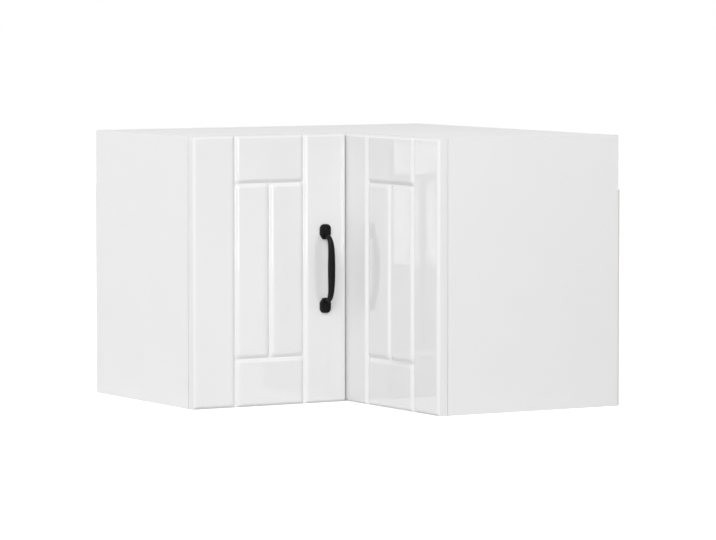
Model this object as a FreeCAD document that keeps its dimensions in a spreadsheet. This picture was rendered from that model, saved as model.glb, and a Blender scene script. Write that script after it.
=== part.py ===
import FreeCAD, Part
import math
import os
import re

import Sketcher

# Corner wall cabinet: an L-shaped carcass with two framed leaves that meet in
# the inner corner. Millimetres, +Z up, the walls lie at +X and +Y, and the
# origin is the middle of the footprint at the underside.

doc = FreeCAD.newDocument("CornerWallCabinet")
sheet = doc.addObject("Spreadsheet::Sheet", "Sizes")

SIZES = {
    # carcass
    "cabinet_width": 570.0,
    "cabinet_height": 400.0,
    "arm_depth": 310.0,
    "board_thickness": 15.0,
    "back_thickness": 3.0,
    "back_reveal": 1.2,
    "rail_height": 80.0,
    "back_lap": 15.0,
    "post_width": 75.0,
    "wall_hole_radius": 3.0,
    "wall_hole_pitch": 400.0,
    "wall_hole_drop": 40.0,
    # shelf
    "shelf_underside": 192.0,
    "shelf_setback": 25.0,
    "shelf_clearance": 1.0,
    "pin_radius": 2.5,
    "pin_depth": 8.0,
    "pin_reach": 9.0,
    "pin_inset": 50.0,
    "pin_row_pitch": 32.0,
    "pin_collar_radius": 4.0,
    "pin_collar_thickness": 0.8,
    # fittings that hold the boards together
    "cam_radius": 7.5,
    "cam_depth": 12.5,
    "cam_slack": 0.3,
    "cam_inset": 24.0,
    "cam_edge": 60.0,
    "cam_slot_length": 8.0,
    "cam_slot_width": 1.2,
    "cam_slot_depth": 1.5,
    "bolt_radius": 3.0,
    "bolt_head_radius": 3.5,
    "bolt_head_length": 3.0,
    "bolt_thread_radius": 2.5,
    "bolt_thread_depth": 10.0,
    "bolt_bore_radius": 4.0,
    "dowel_radius": 4.0,
    "dowel_half_length": 10.0,
    "nail_radius": 0.8,
    "nail_head_radius": 2.0,
    "nail_head_thickness": 0.6,
    "nail_length": 16.0,
    "fit_play": 0.1,
    "bumper_radius": 4.0,
    "bumper_thickness": 1.5,
    "bumper_inset": 30.0,
    # leaves
    "leaf_thickness": 15.0,
    "leaf_gap": 2.0,
    "leaf_reveal": 1.5,
    "leaf_end_reveal": 0.5,
    "fold_gap": 3.2,
    "fold_tuck": 2.9,
    "edge_rounding": 5.0,
    "stile_width": 70.0,
    "crosspiece_width": 71.0,
    "groove_depth": 3.5,
    "groove_slope": 40.0,
    "shoulder_radius": 3.0,
    "root_radius": 1.5,
    # bow handle
    "handle_pitch": 96.0,
    "handle_length": 132.0,
    "handle_standoff": 20.0,
    "foot_width": 18.0,
    "foot_height": 22.5,
    "foot_taper": 7.0,
    "foot_neck": 9.0,
    "foot_crown": 7.0,
    "foot_thickness": 4.0,
    "foot_rounding": 2.0,
    "grip_width": 12.0,
    "grip_thickness": 7.5,
    "neck_width": 7.5,
    "handle_screw_radius": 2.0,
    "handle_screw_head_radius": 4.0,
    "handle_screw_head_thickness": 2.2,
    "handle_screw_bite": 3.0,
    # concealed hinges of the left leaf
    "hinge_inset": 85.0,
    "cup_radius": 17.5,
    "cup_depth": 11.5,
    "cup_wall": 0.8,
    "cup_edge": 3.5,
    "flange_thickness": 1.0,
    "flange_lip": 1.5,
    "wing_half_length": 29.0,
    "wing_width": 15.0,
    "wing_offset": 6.0,
    "cup_screw_pitch": 48.0,
    "cup_screw_radius": 1.8,
    "cup_screw_head_radius": 3.4,
    "cup_screw_head_thickness": 1.6,
    "cup_screw_length": 10.0,
    "cup_pin_radius": 1.0,
    "cup_pin_inset": 3.8,
    "cup_pin_sink": 2.6,
    "cup_ear_radius": 2.2,
    "cup_ear_thickness": 1.6,
    "arm_pin_radius": 1.5,
    "arm_pin_rise": 16.0,
    "arm_pin_setback": 9.0,
    "link_width": 8.0,
    "link_thickness": 1.6,
    "link_drop": 4.2,
    "link_eye_radius": 2.8,
    "link_tip_radius": 2.0,
    "side_play": 0.4,
    "pin_play": 0.05,
    "arm_sheet": 1.4,
    "arm_half_width": 6.5,
    "arm_length": 58.0,
    "arm_rise": 18.0,
    "arm_foot": 5.0,
    "arm_eye_radius": 3.2,
    "nose_slope": 15.0,
    "web_start": 16.0,
    "block_start": 22.0,
    "block_end": 56.0,
    "block_half_width": 4.5,
    "clamp_near": 28.0,
    "clamp_far": 50.0,
    "plate_line": 37.0,
    "plate_thickness": 2.0,
    "plate_width": 16.0,
    "plate_half_length": 24.0,
    "plate_screw_pitch": 32.0,
    "plate_screw_radius": 2.5,
    "plate_screw_head_radius": 4.2,
    "plate_screw_head_thickness": 1.8,
    "plate_screw_length": 11.0,
    "clamp_screw_radius": 2.0,
    "clamp_screw_head_radius": 3.5,
    "clamp_screw_head_thickness": 1.8,
    "clamp_screw_length": 8.0,
    # fold hinges between the leaves
    "fold_plate_thickness": 3.0,
    "fold_eye_radius": 3.0,
    "fold_pin_radius": 1.5,
    "fold_eye_half_width": 5.0,
    "fold_ear_width": 3.0,
    "fold_slot_depth": 9.0,
    "fold_arm_length": 62.0,
    "fold_plate_start": 40.0,
    "fold_plate_end": 78.0,
    "fold_plate_half_height": 18.0,
    "fold_screw_near": 50.0,
    "fold_screw_far": 71.0,
    "fold_screw_spread": 12.5,
}

for row, (alias, value) in enumerate(SIZES.items(), start=1):
    sheet.set(f"A{row}", alias)
    sheet.set(f"B{row}", str(value))
    sheet.setAlias(f"B{row}", alias)
doc.recompute()

# Places that follow from the sizes above, each worked out once
PLACES = {
    "outer": "-(cabinet_width + back_thickness) / 2",
    "rear": "outer + cabinet_width",
    "wall": "rear + back_thickness",
    "leaf_front": "rear - arm_depth",
    "leaf_back": "leaf_front + leaf_thickness",
    "front": "leaf_back + leaf_gap",
    "inner": "outer + board_thickness",
    "depth": "rear - front",
    "length": "rear - inner",
    "notch": "front - inner",
    "ceiling": "cabinet_height - board_thickness",
    "rail_base": "ceiling - rail_height",
    "back_top": "rail_base + back_lap",
    "leaf_height": "cabinet_height - 2 * leaf_end_reveal",
    "left_leaf_width": "leaf_front - fold_gap - outer - leaf_reveal",
    "right_leaf_width": "leaf_back - fold_tuck - outer - leaf_reveal",
    "cup_centre": "cup_edge + cup_radius",
    "cup_pin_x": "leaf_reveal + cup_edge + cup_pin_inset",
    "cup_pin_y": "-leaf_gap - cup_pin_sink",
    "arm_pin_x": "board_thickness + arm_pin_rise",
    "arm_pin_y": "arm_pin_setback",
    "fold_pin": "leaf_back + fold_plate_thickness + fold_eye_radius",
    "low_hinge": "hinge_inset",
    "high_hinge": "cabinet_height - hinge_inset",
    "shoulder_run": "shoulder_radius * sin(groove_slope * 1 deg)",
    "shoulder_drop": "shoulder_radius * (1 - cos(groove_slope * 1 deg))",
    "root_run": "root_radius * sin(groove_slope * 1 deg)",
    "root_rise": "root_radius * (1 - cos(groove_slope * 1 deg))",
    "handle_from_edge": "stile_width / 2",
    "handle_middle": "cabinet_height / 2",
    "groove_flank": "(groove_depth - shoulder_drop - root_rise) / tan(groove_slope * 1 deg)",
    "groove_half": "shoulder_run + root_run + groove_flank",
    "low_groove": "crosspiece_width - leaf_end_reveal",
    "high_groove": "leaf_height - crosspiece_width + leaf_end_reveal",
    "left_far_groove": "left_leaf_width - stile_width",
    "right_far_groove": "right_leaf_width - stile_width",
    "left_mid_groove": "left_leaf_width / 2",
    "right_mid_groove": "right_leaf_width / 2",
    "link_length": "sqrt((arm_pin_x - cup_pin_x)^2 + (arm_pin_y - cup_pin_y)^2)",
}
places = doc.addObject("App::VarSet", "Places")


def bound(text):
    """Point each name in an expression at the sheet or at the places."""
    def owner(match):
        name = match.group(0)
        if name in SIZES:
            return "Sizes." + name
        if name in PLACES:
            return "Places." + name
        return name
    return re.sub(r"[a-z_]+[a-z]", owner, text)


for name, rule in PLACES.items():
    places.addProperty("App::PropertyFloat", name)
    places.setExpression(name, bound(rule))
doc.recompute()


def size(name):
    """The number that a named size or place has now."""
    if name in SIZES:
        return float(sheet.get(name))
    return getattr(places, name)


nodes = []


def finish(item, label):
    """Give a sub-part its name and list it for export."""
    item.Label = label
    nodes.append(item)
    return item


def put(item, x="0", y="0", z="0"):
    """Tie an object's place to the sizes."""
    for axis, rule in zip("xyz", (x, y, z)):
        item.setExpression(f"Placement.Base.{axis}", bound(rule))


def new_body(name):
    return doc.addObject("PartDesign::Body", name)


def new_sketch(body, plane_role, offset="0"):
    """A sketch on one of the body's own planes, moved along the plane's normal."""
    sketch = body.newObject("Sketcher::SketchObject", body.Name + "_sketch")
    plane = next(part for part in body.Origin.OriginFeatures if part.Role == plane_role)
    sketch.AttachmentSupport = [(plane, "")]
    sketch.MapMode = "FlatFace"
    sketch.setExpression("AttachmentOffset.Base.z", bound(offset))
    return sketch


def pin_point(sketch, geometry, point, x, y):
    """Hold one point of a sketch at a place given by two expressions."""
    now = sketch.getPoint(geometry, point)
    for kind, value, rule in (("DistanceX", now.x, x), ("DistanceY", now.y, y)):
        index = sketch.addConstraint(Sketcher.Constraint(kind, -1, 1, geometry, point, value))
        sketch.setExpression(f"Constraints[{index}]", bound(rule))


def draw_polygon(sketch, corners):
    """A closed outline through corners given as pairs of expressions."""
    first = sketch.GeometryCount
    count = len(corners)
    for step in range(count):
        turn = 2 * math.pi * step / count
        following = 2 * math.pi * (step + 1) / count
        start = FreeCAD.Vector(math.cos(turn), math.sin(turn), 0)
        end = FreeCAD.Vector(math.cos(following), math.sin(following), 0)
        sketch.addGeometry(Part.LineSegment(start, end))
    for step, (x, y) in enumerate(corners):
        nextline = first + (step + 1) % count
        sketch.addConstraint(Sketcher.Constraint("Coincident", first + step, 2, nextline, 1))
        pin_point(sketch, first + step, 1, x, y)


def draw_box(sketch, x0, y0, x1, y1):
    draw_polygon(sketch, [(x0, y0), (x1, y0), (x1, y1), (x0, y1)])


def draw_circle(sketch, x, y, radius):
    middle = FreeCAD.Vector(0, 0, 0)
    circle = sketch.addGeometry(Part.Circle(middle, FreeCAD.Vector(0, 0, 1), 1.0))
    index = sketch.addConstraint(Sketcher.Constraint("Radius", circle, 1.0))
    sketch.setExpression(f"Constraints[{index}]", bound(radius))
    pin_point(sketch, circle, 3, x, y)


def pad(body, sketch, length, both_ways=False, backwards=False):
    feature = body.newObject("PartDesign::Pad", body.Name + "_pad")
    feature.Profile = sketch
    feature.setExpression("Length", bound(length))
    feature.Midplane = both_ways
    feature.Reversed = backwards
    return feature


def cut(body, sketch, length, both_ways=False, backwards=False):
    """A pocket against the sketch's normal, or along it when backwards."""
    doc.recompute()
    before = body.Shape.Volume
    feature = body.newObject("PartDesign::Pocket", body.Name + "_cut")
    feature.Profile = sketch
    feature.setExpression("Length", bound(length))
    feature.Midplane = both_ways
    feature.Reversed = backwards
    doc.recompute()
    if body.Shape.Volume > before - 0.01:
        raise RuntimeError(f"{body.Name}: {feature.Name} removed nothing")
    return feature


# The left arm has its wall at +Y and the right arm at +X. "along" runs from the
# arm's end panel towards the corner and "inward" from the leaves to the wall.
SIDES = ("left", "right")


def turn(side, along, inward):
    """The X and Y of a place that is given along and inward."""
    return (along, inward) if side == "left" else (inward, along)


def across_sketch(body, side, distance="0"):
    """A sketch square to the along direction, with inward and up as its axes."""
    if side == "left":
        return new_sketch(body, "YZ_Plane", distance)
    return new_sketch(body, "XZ_Plane", f"-({distance})")


def facing_sketch(body, side, distance="0"):
    """A sketch square to the inward direction, with along and up as its axes."""
    if side == "left":
        return new_sketch(body, "XZ_Plane", f"-({distance})")
    return new_sketch(body, "YZ_Plane", distance)


def drill_along(body, side, distance, holes, depth, towards_corner):
    """Round holes that run along the arm. Each hole is inward, up, radius."""
    sketch = across_sketch(body, side, distance)
    for inward, up, radius in holes:
        draw_circle(sketch, inward, up, radius)
    cut(body, sketch, depth, backwards=(side == "left") == towards_corner)


def drill_inward(body, side, distance, holes, depth, towards_wall):
    """Round holes that run from leaves to wall. Each hole is along, up, radius."""
    sketch = facing_sketch(body, side, distance)
    for along, up, radius in holes:
        draw_circle(sketch, along, up, radius)
    cut(body, sketch, depth, backwards=(side == "right") == towards_wall)


def drill_down(body, height, holes, depth, upwards=False):
    """Round holes that run vertically. Each hole is x, y, radius."""
    sketch = new_sketch(body, "XY_Plane", height)
    for x, y, radius in holes:
        draw_circle(sketch, x, y, radius)
    cut(body, sketch, depth, backwards=upwards)


# Carcass boards
HINGE_HEIGHTS = {"lower": "low_hinge", "upper": "high_hinge"}
BOARD_LEVELS = ("board_thickness / 2", "cabinet_height - board_thickness / 2")
CAM_ROWS = ("cam_edge", "depth - cam_edge")
PIN_ROWS = ("pin_inset", "depth - pin_inset")
PIN_STEPS = (-1, 0, 1)
POST_DOWELS = ("post_width / 4", "post_width * 3 / 4")
FOLD_SCREWS = (("fold_screw_near", " + fold_screw_spread"), ("fold_screw_near", " - fold_screw_spread"),
               ("fold_screw_far", ""))


def pin_height(step):
    return f"shelf_underside - pin_radius + {step} * pin_row_pitch"


def make_end_panel(side):
    body = new_body(side + "_end_panel")
    sketch = new_sketch(body, "XY_Plane")
    draw_box(sketch, "0", "0", *turn(side, "board_thickness", "depth"))
    pad(body, sketch, "cabinet_height")
    bolts = [(row, level, "bolt_thread_radius + fit_play") for row in CAM_ROWS for level in BOARD_LEVELS]
    bolts.append(("depth - board_thickness / 2", "rail_base + rail_height / 2",
                  "bolt_thread_radius + fit_play"))
    drill_along(body, side, "board_thickness", bolts, "bolt_thread_depth", False)
    dowels = [("depth / 2", level, "dowel_radius + fit_play") for level in BOARD_LEVELS]
    drill_along(body, side, "board_thickness", dowels, "dowel_half_length", False)
    pins = [(row, pin_height(step), "pin_radius + fit_play") for row in PIN_ROWS for step in PIN_STEPS]
    drill_along(body, side, "board_thickness", pins, "pin_depth", False)
    if side == "left":
        screws = [("plate_line", f"{height} {sign} plate_screw_pitch / 2", "plate_screw_radius + fit_play")
                  for height in HINGE_HEIGHTS.values() for sign in "+-"]
        drill_along(body, side, "board_thickness", screws, "plate_screw_length - plate_thickness", False)
    put(body, *turn(side, "outer", "front"))
    return finish(body, side + "_end_panel")


def make_shelf_outline(sketch, notch, length_x, length_y):
    """The L of a board that reaches into both arms."""
    draw_polygon(sketch, [("0", notch), (notch, notch), (notch, "0"),
                          (length_x, "0"), (length_x, length_y), ("0", length_y)])


def make_l_board(label, base, inside_face, upwards):
    body = new_body(label)
    sketch = new_sketch(body, "XY_Plane")
    make_shelf_outline(sketch, "notch", "length", "length")
    pad(body, sketch, "board_thickness")
    cams = [(*turn(side, "cam_inset", "notch + " + row), "cam_radius") for side in SIDES for row in CAM_ROWS]
    drill_down(body, inside_face, cams, "cam_depth", upwards)
    for side in SIDES:
        bolts = [("notch + " + row, "board_thickness / 2", "bolt_bore_radius") for row in CAM_ROWS]
        drill_along(body, side, "0", bolts, "cam_inset", True)
        dowel = [("notch + depth / 2", "board_thickness / 2", "dowel_radius + fit_play")]
        drill_along(body, side, "0", dowel, "dowel_half_length", True)
    if label == "bottom_board":
        dowels = [("length - post_width + " + spot, "length - board_thickness / 2", "dowel_radius + fit_play")
                  for spot in POST_DOWELS]
        drill_down(body, "board_thickness", dowels, "dowel_half_length")
    put(body, "inner", "inner", base)
    return finish(body, label)


def make_hanging_rail(side):
    body = new_body(side + "_hanging_rail")
    reach = "length" if side == "left" else "length - board_thickness"
    sketch = new_sketch(body, "XY_Plane")
    draw_box(sketch, "0", "0", *turn(side, reach, "board_thickness"))
    pad(body, sketch, "rail_height")
    walls = [(f"-inner {sign} wall_hole_pitch / 2", "rail_height - wall_hole_drop", "wall_hole_radius")
             for sign in "+-"]
    drill_inward(body, side, "0", walls, "board_thickness", True)
    middle = "rail_height / 2"
    ends = ["cam_inset"] if side == "left" else ["cam_inset", reach + " - cam_inset"]
    drill_inward(body, side, "0", [(spot, middle, "cam_radius") for spot in ends], "cam_depth", True)
    bore = [("board_thickness / 2", middle, "bolt_bore_radius")]
    drill_along(body, side, "0", bore, "cam_inset", True)
    if side == "right":
        drill_along(body, side, reach, bore, "cam_inset", False)
    else:
        thread = [("length - board_thickness / 2", middle, "bolt_thread_radius + fit_play")]
        drill_inward(body, side, "0", thread, "bolt_thread_depth", True)
        dowels = [("length - post_width + " + spot, "board_thickness / 2", "dowel_radius + fit_play")
                  for spot in POST_DOWELS]
        drill_down(body, "0", dowels, "dowel_half_length", True)
    put(body, *turn(side, "inner", "rear - board_thickness"), "rail_base")
    return finish(body, side + "_hanging_rail")


def make_rear_corner_post():
    body = new_body("rear_corner_post")
    sketch = new_sketch(body, "XY_Plane")
    draw_box(sketch, "0", "0", "post_width", "board_thickness")
    pad(body, sketch, "rail_base - board_thickness")
    dowels = [(spot, "board_thickness / 2", "dowel_radius + fit_play") for spot in POST_DOWELS]
    drill_down(body, "0", dowels, "dowel_half_length", True)
    drill_down(body, "rail_base - board_thickness", dowels, "dowel_half_length")
    pins = [("post_width / 2", pin_height(step) + " - board_thickness", "pin_radius + fit_play")
            for step in PIN_STEPS]
    drill_inward(body, "left", "0", pins, "pin_depth", True)
    put(body, "rear - post_width", "rear - board_thickness", "board_thickness")
    return finish(body, "rear_corner_post")


def make_back_panel(side):
    panel = doc.addObject("Part::Box", side + "_back_panel")
    reach = "cabinet_width - back_reveal"
    if side == "right":
        reach += " + back_thickness"
    length, width = turn(side, reach, "back_thickness")
    panel.setExpression("Length", bound(length))
    panel.setExpression("Width", bound(width))
    panel.setExpression("Height", bound("back_top - back_reveal"))
    put(panel, *turn(side, "outer + back_reveal", "rear"), "back_reveal")
    return finish(panel, side + "_back_panel")


def make_shelf():
    body = new_body("shelf")
    sketch = new_sketch(body, "XY_Plane")
    make_shelf_outline(sketch, "notch + shelf_setback - shelf_clearance", "length - 2 * shelf_clearance",
                       "length - board_thickness - 2 * shelf_clearance")
    pad(body, sketch, "board_thickness")
    put(body, "inner + shelf_clearance", "inner + shelf_clearance", "shelf_underside")
    return finish(body, "shelf")


for arm in SIDES:
    make_end_panel(arm)
make_l_board("bottom_board", "0", "board_thickness", False)
make_l_board("top_board", "ceiling", "0", True)
for arm in SIDES:
    make_hanging_rail(arm)
    make_back_panel(arm)
make_rear_corner_post()
make_shelf()


# Leaves: each a board with moulded grooves, a rounded front rim and, at the back,
# the recesses for its hinges. The front face lies at inward 0.
def draw_groove(sketch, centre, centre_first):
    """The moulded groove's section: rounded shoulders, straight flanks, round root."""
    half, depth = size("groove_half"), size("groove_depth")
    run, drop = size("shoulder_run"), size("shoulder_drop")
    root, rise = size("root_run"), size("root_rise")
    slope = math.radians(size("groove_slope") / 2)
    bend = size("shoulder_radius") * math.sin(slope)
    sag = size("shoulder_radius") * (1 - math.cos(slope))
    middle = size(centre)
    corners = [
        (-half, 0.0, f"{centre} - groove_half", "0"),
        (half, 0.0, f"{centre} + groove_half", "0"),
        (half - run, drop, f"{centre} + groove_half - shoulder_run", "shoulder_drop"),
        (root, depth - rise, f"{centre} + root_run", "groove_depth - root_rise"),
        (-root, depth - rise, f"{centre} - root_run", "groove_depth - root_rise"),
        (run - half, drop, f"{centre} - groove_half + shoulder_run", "shoulder_drop"),
    ]
    bulges = {1: (half - bend, sag), 3: (0.0, depth), 5: (bend - half, sag)}
    radii = {1: "shoulder_radius", 3: "root_radius", 5: "shoulder_radius"}

    def spot(across, deep):
        if centre_first:
            return FreeCAD.Vector(middle + across, deep, 0)
        return FreeCAD.Vector(deep, middle + across, 0)

    first = sketch.GeometryCount
    count = len(corners)
    starts_at = {}
    ends_at = {}
    for step in range(count):
        start = spot(*corners[step][:2])
        end = spot(*corners[(step + 1) % count][:2])
        if step in bulges:
            curve = Part.ArcOfCircle(start, spot(*bulges[step]), end)
            flipped = (curve.Center - start).cross(end - start).z > 0
            sketch.addGeometry(curve)
            index = sketch.addConstraint(Sketcher.Constraint("Radius", first + step, curve.Radius))
            sketch.setExpression(f"Constraints[{index}]", bound(radii[step]))
        else:
            flipped = False
            sketch.addGeometry(Part.LineSegment(start, end))
        starts_at[step] = 2 if flipped else 1
        ends_at[step] = 1 if flipped else 2
    for step in range(count):
        following = (step + 1) % count
        sketch.addConstraint(Sketcher.Constraint("Coincident", first + step, ends_at[step],
                                                 first + following, starts_at[following]))
    for step, corner in enumerate(corners):
        place = corner[2:] if centre_first else corner[:1:-1]
        pin_point(sketch, first + step, starts_at[step], *place)


def round_edges(body, radius, wanted):
    """Round the edges of a body's last feature that a test picks out."""
    doc.recompute()
    base = body.Tip
    chosen = [f"Edge{number}" for number, edge in enumerate(base.Shape.Edges, start=1) if wanted(edge)]
    feature = body.newObject("PartDesign::Fillet", body.Name + "_rounding")
    feature.Base = (base, chosen)
    feature.setExpression("Radius", bound(radius))
    doc.recompute()


def make_leaf(side):
    body = new_body(side + "_leaf")
    width = side + "_leaf_width"
    far, middle = side + "_far_groove", side + "_mid_groove"
    sketch = new_sketch(body, "XY_Plane")
    draw_box(sketch, "0", "0", *turn(side, width, "leaf_thickness"))
    pad(body, sketch, "leaf_height")
    round_edges(body, "edge_rounding",
                lambda edge: all(abs(turn(side, point.X, point.Y)[1]) < 0.001 for point in edge.Vertexes))
    # the two long grooves, the two crosswise ones, and the one between those
    for centre in ("stile_width", far):
        sketch = new_sketch(body, "XY_Plane")
        draw_groove(sketch, centre, side == "left")
        cut(body, sketch, "leaf_height", backwards=True)
    for centre in ("low_groove", "high_groove"):
        sketch = across_sketch(body, side, "stile_width")
        draw_groove(sketch, centre, False)
        cut(body, sketch, far + " - stile_width", backwards=side == "left")
    sketch = new_sketch(body, "XY_Plane", "low_groove")
    draw_groove(sketch, middle, side == "left")
    cut(body, sketch, "high_groove - low_groove", backwards=True)
    heights = [height + " - leaf_end_reveal" for height in HINGE_HEIGHTS.values()]
    if side == "left":
        cups = [("cup_centre", height, "cup_radius") for height in heights]
        drill_inward(body, side, "leaf_thickness", cups, "cup_depth", False)
        screws = [("cup_centre + wing_offset", f"{height} {sign} cup_screw_pitch / 2",
                   "cup_screw_radius + fit_play") for height in heights for sign in "+-"]
        drill_inward(body, side, "leaf_thickness", screws, "cup_screw_length", False)
        bolts = [(width + " - handle_from_edge",
                  f"handle_middle - leaf_end_reveal {sign} handle_pitch / 2",
                  "handle_screw_radius + fit_play") for sign in "+-"]
        drill_inward(body, side, "leaf_thickness", bolts, "2 * leaf_thickness", False)
    wings = [(f"fold_pin - outer - leaf_reveal - {reach}", height + spread, "cup_screw_radius + fit_play")
             for reach, spread in FOLD_SCREWS for height in heights]
    drill_inward(body, side, "leaf_thickness", wings, "cup_screw_length", False)
    put(body, *turn(side, "outer + leaf_reveal", "leaf_front"), "leaf_end_reveal")
    return finish(body, side + "_leaf")



for arm in SIDES:
    make_leaf(arm)


# Bow handle: a grip lofted through ellipses that follow a square-shouldered arch,
# standing on two rounded feet. Its face to the leaf lies at y = 0.
HANDLE_STATIONS = 16
ARCH_SQUARENESS = 4.0


def make_handle():
    rise, reach = size("handle_standoff"), size("handle_pitch") / 2
    power = 2 / ARCH_SQUARENESS
    points = []
    for step in range(HANDLE_STATIONS + 1):
        turned = math.pi * step / HANDLE_STATIONS
        height = math.copysign(abs(math.cos(turned)) ** power, math.cos(turned))
        points.append((math.sin(turned) ** power if 0 < step < HANDLE_STATIONS else 0.0, height))
    rings = []
    for step, (out, height) in enumerate(points):
        before, after = points[max(step - 1, 0)], points[min(step + 1, HANDLE_STATIONS)]
        # the first and last rings lie flat on the leaf
        tilt = math.atan2((before[1] - after[1]) * reach, (after[0] - before[0]) * rise)
        tilt = {0: 0.0, HANDLE_STATIONS: math.pi}.get(step, tilt)
        swell = 1 - height ** 2
        ring = doc.addObject("Part::Ellipse", f"grip_ring_{step}")
        ring_width = f"(neck_width + (grip_width - neck_width) * {swell:.4f}) / 2"
        ring.setExpression("MajorRadius", bound(ring_width))
        ring.setExpression("MinorRadius", bound("neck_width * 0.46"))
        ring.Placement.Rotation = FreeCAD.Rotation(FreeCAD.Vector(1, 0, 0), 90 + math.degrees(tilt))
        put(ring, "0", f"-handle_standoff * {out:.5f}", f"handle_pitch / 2 * {height:.5f}")
        rings.append(ring)
    grip = doc.addObject("Part::Loft", "handle_grip")
    grip.Sections = rings
    grip.Solid = True

    foot = new_body("handle_foot")
    sketch = new_sketch(foot, "XZ_Plane")
    foot_bottom = "handle_length / 2 - foot_height"
    half_outline = [
        ("foot_neck / 2", foot_bottom),
        ("foot_width / 2", foot_bottom + " + foot_taper"),
        ("foot_width / 2", "handle_length / 2"),
    ]
    other_half = [("-" + across, up) for across, up in reversed(half_outline)]
    draw_polygon(sketch, half_outline + other_half)
    pad(foot, sketch, "foot_thickness")
    crown = size("handle_length") / 2 - 0.001
    sides = crown - size("foot_height") + size("foot_taper") + 0.01
    for radius, low, high in (("foot_crown", crown, 2 * crown), ("foot_crown / 2", 0, sides)):
        round_edges(foot, radius, lambda edge: abs(edge.tangentAt(edge.FirstParameter).y) > 0.99
                    and low < edge.Vertexes[0].Z < high)
    top = 0.001 - size("foot_thickness")
    round_edges(foot, "foot_rounding", lambda edge: all(point.Y < top for point in edge.Vertexes))
    other_foot = doc.addObject("Part::Mirroring", "handle_other_foot")
    other_foot.Source = foot
    other_foot.Normal = FreeCAD.Vector(0, 0, 1)

    casting = doc.addObject("Part::MultiFuse", "handle_casting")
    casting.Shapes = [grip, foot, other_foot]
    bores = []
    for sign in (1, -1):
        bore = doc.addObject("Part::Cylinder", "handle_bore")
        bore.setExpression("Radius", bound("handle_screw_radius + fit_play"))
        bore.setExpression("Height", bound("handle_screw_bite + fit_play"))
        bore.Placement.Rotation = FreeCAD.Rotation(FreeCAD.Vector(1, 0, 0), 90)
        put(bore, z=f"{sign} * handle_pitch / 2")
        bores.append(bore)
    drills = doc.addObject("Part::Compound", "handle_bores")
    drills.Links = bores
    handle = doc.addObject("Part::Cut", "handle")
    handle.Base = casting
    handle.Tool = drills
    put(handle, "leaf_front - fold_gap - handle_from_edge", "leaf_front", "handle_middle")
    return finish(handle, "handle")


make_handle()


# Concealed hinges of the left leaf. In the hinge's own frame x runs inward from the
# outer face of the end panel and y runs from the board fronts towards the wall.
def make_hinge_arm(level):
    body = new_body(level + "_hinge_arm")
    top = "board_thickness + arm_rise"
    foot = "board_thickness + arm_foot"
    sketch = new_sketch(body, "XY_Plane")
    draw_polygon(sketch, [
        (foot, "arm_length"),
        (foot, "arm_pin_y + nose_slope"),
        ("arm_pin_x - arm_eye_radius", "arm_pin_y"),
        (top + " + arm_sheet", "arm_pin_y"),
        (top + " + arm_sheet", "arm_length"),
    ])
    pad(body, sketch, "2 * arm_half_width", both_ways=True)
    sketch = new_sketch(body, "XY_Plane")
    draw_circle(sketch, "arm_pin_x", "arm_pin_y", "arm_eye_radius")
    pad(body, sketch, "2 * arm_half_width", both_ways=True)
    # the channel over the mounting plate, and the open nose for the link
    for far_x, far_y in ((top, "arm_length + 1"), (top + " + 2 * arm_sheet", "web_start")):
        sketch = new_sketch(body, "XY_Plane")
        draw_box(sketch, "0", "-arm_length", far_x, far_y)
        cut(body, sketch, "2 * (arm_half_width - arm_sheet)", both_ways=True)
    sketch = new_sketch(body, "XY_Plane")
    draw_circle(sketch, "arm_pin_x", "arm_pin_y", "arm_pin_radius + pin_play")
    cut(body, sketch, "4 * arm_half_width", both_ways=True)
    screws = [(reach, "0", "clamp_screw_radius + fit_play") for reach in ("clamp_near", "clamp_far")]
    drill_along(body, "left", top + " + arm_sheet", screws, "2 * arm_sheet", False)
    put(body, "outer", "front", HINGE_HEIGHTS[level])
    return finish(body, level + "_hinge_arm")


def make_hinge_plate(level):
    body = new_body(level + "_hinge_plate")
    sketch = new_sketch(body, "YZ_Plane")
    draw_box(sketch, "plate_line - plate_width / 2", "-plate_half_length",
             "plate_line + plate_width / 2", "plate_half_length")
    pad(body, sketch, "plate_thickness")
    sketch = new_sketch(body, "YZ_Plane")
    draw_box(sketch, "block_start", "-block_half_width", "block_end", "block_half_width")
    pad(body, sketch, "arm_rise")
    bore = "plate_screw_radius + fit_play"
    holes = [("plate_line", f"{sign} plate_screw_pitch / 2", bore) for sign in "+-"]
    drill_along(body, "left", "plate_thickness", holes, "2 * plate_thickness", False)
    clamps = [(reach, "0", "clamp_screw_radius + fit_play") for reach in ("clamp_near", "clamp_far")]
    drill_along(body, "left", "arm_rise", clamps, "clamp_screw_length", False)
    put(body, "inner", "front", HINGE_HEIGHTS[level])
    return finish(body, level + "_hinge_plate")


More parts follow.
